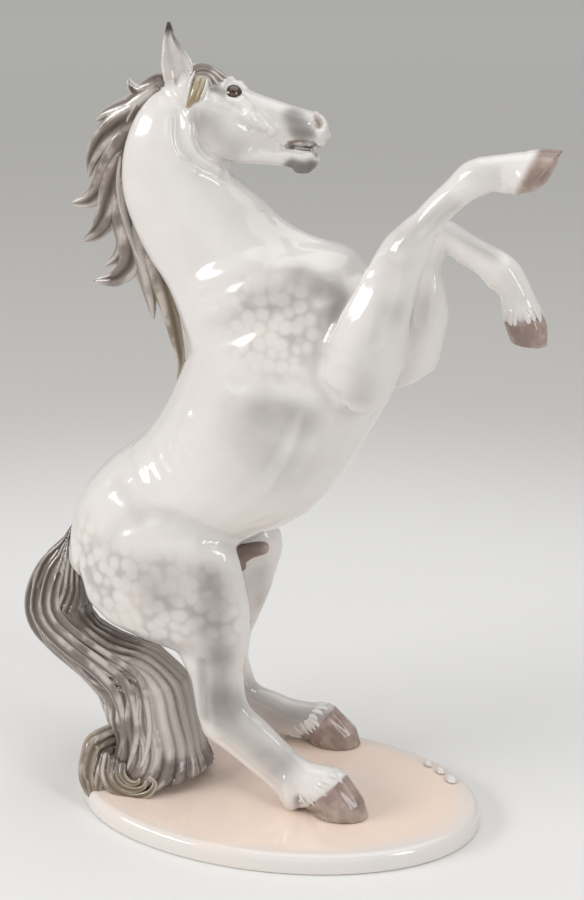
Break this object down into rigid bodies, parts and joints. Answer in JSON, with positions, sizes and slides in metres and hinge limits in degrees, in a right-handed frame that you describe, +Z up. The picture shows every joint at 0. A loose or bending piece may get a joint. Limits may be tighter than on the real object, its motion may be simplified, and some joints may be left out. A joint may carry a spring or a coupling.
{
  "type": "rearing horse figurine",
  "caption": "Glazed porcelain horse rearing on its hind legs on an oval plinth, as a table or shelf ornament; its hind hooves and its tail carry it.",
  "frame": {"origin": "middle of the oval plinth's underside, where the figure stands on a table", "axes": "+Z up, +X along the plinth's long axis the way the horse faces, +Y to the horse's left"},
  "size_m": [0.2387, 0.119, 0.3528],
  "materials": {
    "porcelain_white": "gloss",
    "plinth_blush": "gloss",
    "hair_grey": "gloss",
    "hoof_brown": "gloss",
    "skin_grey": "gloss"
  },
  "bodies": {
    "root": {"plinth": "plinth_blush", "torso": "porcelain_white", "neck": "porcelain_white", "head": "porcelain_white", "lower_jaw": "porcelain_white", "right_ear": "porcelain_white", "left_ear": "porcelain_white", "right_forearm": "porcelain_white", "right_fore_cannon": "porcelain_white", "left_forearm": "porcelain_white", "left_fore_cannon": "porcelain_white", "right_thigh": "porcelain_white", "right_hind_cannon": "porcelain_white", "left_thigh": "porcelain_white", "left_hind_cannon": "porcelain_white", "plinth_pebble_1": "porcelain_white", "plinth_pebble_2": "porcelain_white", "plinth_pebble_3": "porcelain_white", "forelock": "hair_grey", "forelock_lock": "hair_grey", "mane_crest": "hair_grey", "mane_lock_1": "hair_grey", "mane_lock_2": "hair_grey", "mane_lock_3": "hair_grey", "mane_lock_4": "hair_grey", "mane_lock_5": "hair_grey", "mane_lock_6": "hair_grey", "mane_lock_7": "hair_grey", "mane_lock_8": "hair_grey", "mane_lock_9": "hair_grey", "tail": "hair_grey", "tail_side_lock": "hair_grey", "tail_tip_lock": "hair_grey", "right_fore_hoof": "hoof_brown", "left_fore_hoof": "hoof_brown", "right_hind_hoof": "hoof_brown", "left_hind_hoof": "hoof_brown", "sheath": "skin_grey"}
  },
  "joints": []
}
